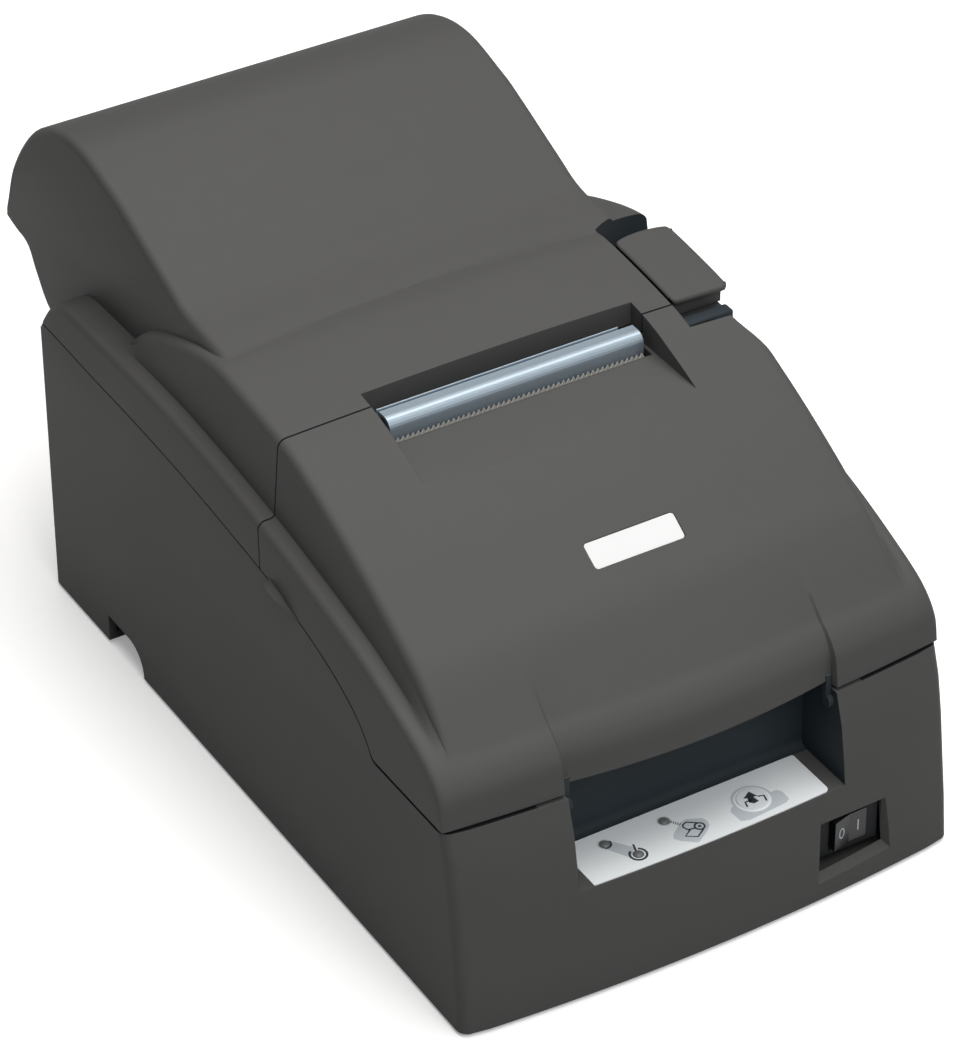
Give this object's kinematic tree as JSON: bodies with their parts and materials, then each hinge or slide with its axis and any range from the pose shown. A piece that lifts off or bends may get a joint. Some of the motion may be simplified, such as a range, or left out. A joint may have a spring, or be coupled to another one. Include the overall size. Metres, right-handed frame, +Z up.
{
  "type": "dot matrix receipt printer",
  "caption": "Dot matrix receipt printer with a front ribbon cover, a hinged rear cover with take-up hump, opening lever, paper exit with cutter and a sunken control panel.",
  "frame": {"origin": "middle of the bounding box at the table, under the rubber feet", "axes": "+X to the right seen from the front, +Y to the rear, +Z up; the control panel faces -Y"},
  "size_m": [0.16, 0.286, 0.1575],
  "materials": {
    "case_plastic": "fine moulded texture",
    "cover_plastic": "fine moulded texture",
    "rubber": "matt",
    "label_silver": "satin film",
    "badge_pale": "satin",
    "lens_grey": "polished",
    "button_grey": "satin",
    "board_green": "solder mask",
    "black_plastic": "moulded",
    "rocker_black": "polished",
    "tray_plastic": "moulded",
    "sheet_steel": "zinc plated",
    "bright_steel": "polished",
    "guide_steel": "satin",
    "motor_steel": "satin",
    "platen_black": "matt",
    "roller_rubber": "matt",
    "gear_plastic": "moulded",
    "pinion_brass": "machined",
    "head_alloy": "cast",
    "cassette_plastic": "moulded",
    "ribbon_fabric": "inked",
    "knob_blue": "moulded"
  },
  "bodies": {
    "base": {"lower_case": "case_plastic", "rubber_feet": "rubber", "panel_label": "label_silver", "panel_board": "board_green", "status_leds": "lens_grey", "feed_switch": "black_plastic", "switch_housing": "black_plastic", "chassis_plate": "sheet_steel", "chassis_screws": "bright_steel", "left_frame": "sheet_steel", "right_frame": "sheet_steel", "guide_shaft": "bright_steel", "guide_rail": "sheet_steel", "platen": "platen_black", "paper_guide": "black_plastic", "idler_stud": "bright_steel", "feed_motor": "motor_steel", "carriage_motor": "motor_steel", "motor_bracket": "sheet_steel", "tension_stud": "bright_steel", "timing_belt": "black_plastic", "ribbon_cassette": "cassette_plastic", "ink_ribbon": "ribbon_fabric", "latch_stud": "bright_steel", "paper_tray": "tray_plastic", "takeup_motor": "motor_steel", "main_board": "board_green", "connector_plate": "sheet_steel", "data_connector": "bright_steel", "power_inlet": "black_plastic", "drawer_socket": "black_plastic", "front_hinge_pins": "bright_steel", "rear_hinge_pins": "bright_steel"},
    "front_cover": {"front_cover": "cover_plastic", "tear_blade": "guide_steel", "badge_plate": "badge_pale"},
    "rear_cover": {"rear_cover": "cover_plastic", "guide_bar": "guide_steel", "cutter_unit": "sheet_steel", "lever_pin": "bright_steel"},
    "open_lever": {"open_lever": "cover_plastic"},
    "cutter_blade": {"cutter_blade": "bright_steel"},
    "feed_button": {"feed_button": "button_grey"},
    "power_rocker": {"power_rocker": "rocker_black"},
    "feed_roller": {"feed_roller": "roller_rubber", "feed_gear": "gear_plastic"},
    "pressure_roller": {"pressure_roller": "platen_black"},
    "idler_gear": {"idler_gear": "gear_plastic"},
    "motor_pinion": {"motor_pinion": "pinion_brass"},
    "drive_pulley": {"drive_pulley": "gear_plastic"},
    "tension_pulley": {"tension_pulley": "gear_plastic"},
    "print_carriage": {"head_carriage": "black_plastic", "print_head": "head_alloy"},
    "ribbon_knob": {"ribbon_knob": "knob_blue"},
    "near_end_lever": {"near_end_lever": "gear_plastic"},
    "takeup_spool": {"takeup_spool": "tray_plastic"},
    "takeup_pinion": {"takeup_pinion": "pinion_brass"}
  },
  "joints": [
    {"name": "front_cover_hinge", "type": "hinge", "parent": "base", "child": "front_cover", "pos_m": [0, -0.1295, 0.0595], "axis": [1, 0, 0], "range_deg": [0, 80]},
    {"name": "rear_cover_hinge", "type": "hinge", "parent": "base", "child": "rear_cover", "pos_m": [0, 0.1003, 0.0925], "axis": [1, 0, 0], "range_deg": [-55, 0]},
    {"name": "open_lever_pivot", "type": "hinge", "parent": "rear_cover", "child": "open_lever", "pos_m": [0.062, -0.0066, 0.117], "axis": [1, 0, 0], "range_deg": [-12, 0], "stiffness_Nm_per_rad": 0.4},
    {"name": "cutter_stroke", "type": "slide", "parent": "rear_cover", "child": "cutter_blade", "axis": [0, -1, 0], "range_m": [0, 0.0095]},
    {"name": "feed_button_press", "type": "slide", "parent": "base", "child": "feed_button", "axis": [0, 0, -1], "range_m": [0, 0.0008], "stiffness_N_per_m": 400},
    {"name": "power_rocker_pivot", "type": "hinge", "parent": "base", "child": "power_rocker", "pos_m": [0.046, -0.133, 0.017], "axis": [0, 0, 1], "range_deg": [-16, 0]},
    {"name": "feed_roller_spin", "type": "hinge", "parent": "base", "child": "feed_roller", "pos_m": [0, -0.03, 0.046], "axis": [1, 0, 0], "continuous": true},
    {"name": "pressure_roller_spin", "type": "hinge", "parent": "base", "child": "pressure_roller", "pos_m": [0, -0.04235, 0.046], "axis": [1, 0, 0], "continuous": true},
    {"name": "idler_gear_spin", "type": "hinge", "parent": "base", "child": "idler_gear", "pos_m": [0.066, -0.01396, 0.03783], "axis": [1, 0, 0], "continuous": true},
    {"name": "motor_pinion_spin", "type": "hinge", "parent": "base", "child": "motor_pinion", "pos_m": [0.066, -0.00199, 0.03275], "axis": [1, 0, 0], "continuous": true},
    {"name": "print_carriage_travel", "type": "slide", "parent": "base", "child": "print_carriage", "axis": [1, 0, 0], "range_m": [-0.03, 0.03]},
    {"name": "drive_pulley_spin", "type": "hinge", "parent": "base", "child": "drive_pulley", "pos_m": [-0.048, -0.08, 0.059], "axis": [0, 0, 1], "range_deg": [-313, 313]},
    {"name": "tension_pulley_spin", "type": "hinge", "parent": "base", "child": "tension_pulley", "pos_m": [0.05, -0.08, 0.059], "axis": [0, 0, 1], "range_deg": [-313, 313]},
    {"name": "ribbon_knob_spin", "type": "hinge", "parent": "base", "child": "ribbon_knob", "pos_m": [-0.044, -0.076, 0.098], "axis": [0, 0, 1], "continuous": true},
    {"name": "near_end_lever_pivot", "type": "hinge", "parent": "base", "child": "near_end_lever", "pos_m": [-0.0466, 0.0505, 0.04], "axis": [0, 0, 1], "range_deg": [-10, 0], "stiffness_Nm_per_rad": 0.01},
    {"name": "takeup_spool_spin", "type": "hinge", "parent": "base", "child": "takeup_spool", "pos_m": [0, 0.086, 0.112], "axis": [1, 0, 0], "continuous": true},
    {"name": "takeup_pinion_spin", "type": "hinge", "parent": "base", "child": "takeup_pinion", "pos_m": [0.046, 0.086, 0.092], "axis": [1, 0, 0], "continuous": true}
  ],
  "couplings": [
    {"joint": "pressure_roller_spin", "follows": "feed_roller_spin", "ratio": -1},
    {"joint": "idler_gear_spin", "follows": "feed_roller_spin", "ratio": -1.25},
    {"joint": "motor_pinion_spin", "follows": "feed_roller_spin", "ratio": 2},
    {"joint": "drive_pulley_spin", "follows": "print_carriage_travel", "rad_per_m": -181.82},
    {"joint": "tension_pulley_spin", "follows": "print_carriage_travel", "rad_per_m": -181.82},
    {"joint": "takeup_pinion_spin", "follows": "takeup_spool_spin", "ratio": -2.3333}
  ]
}
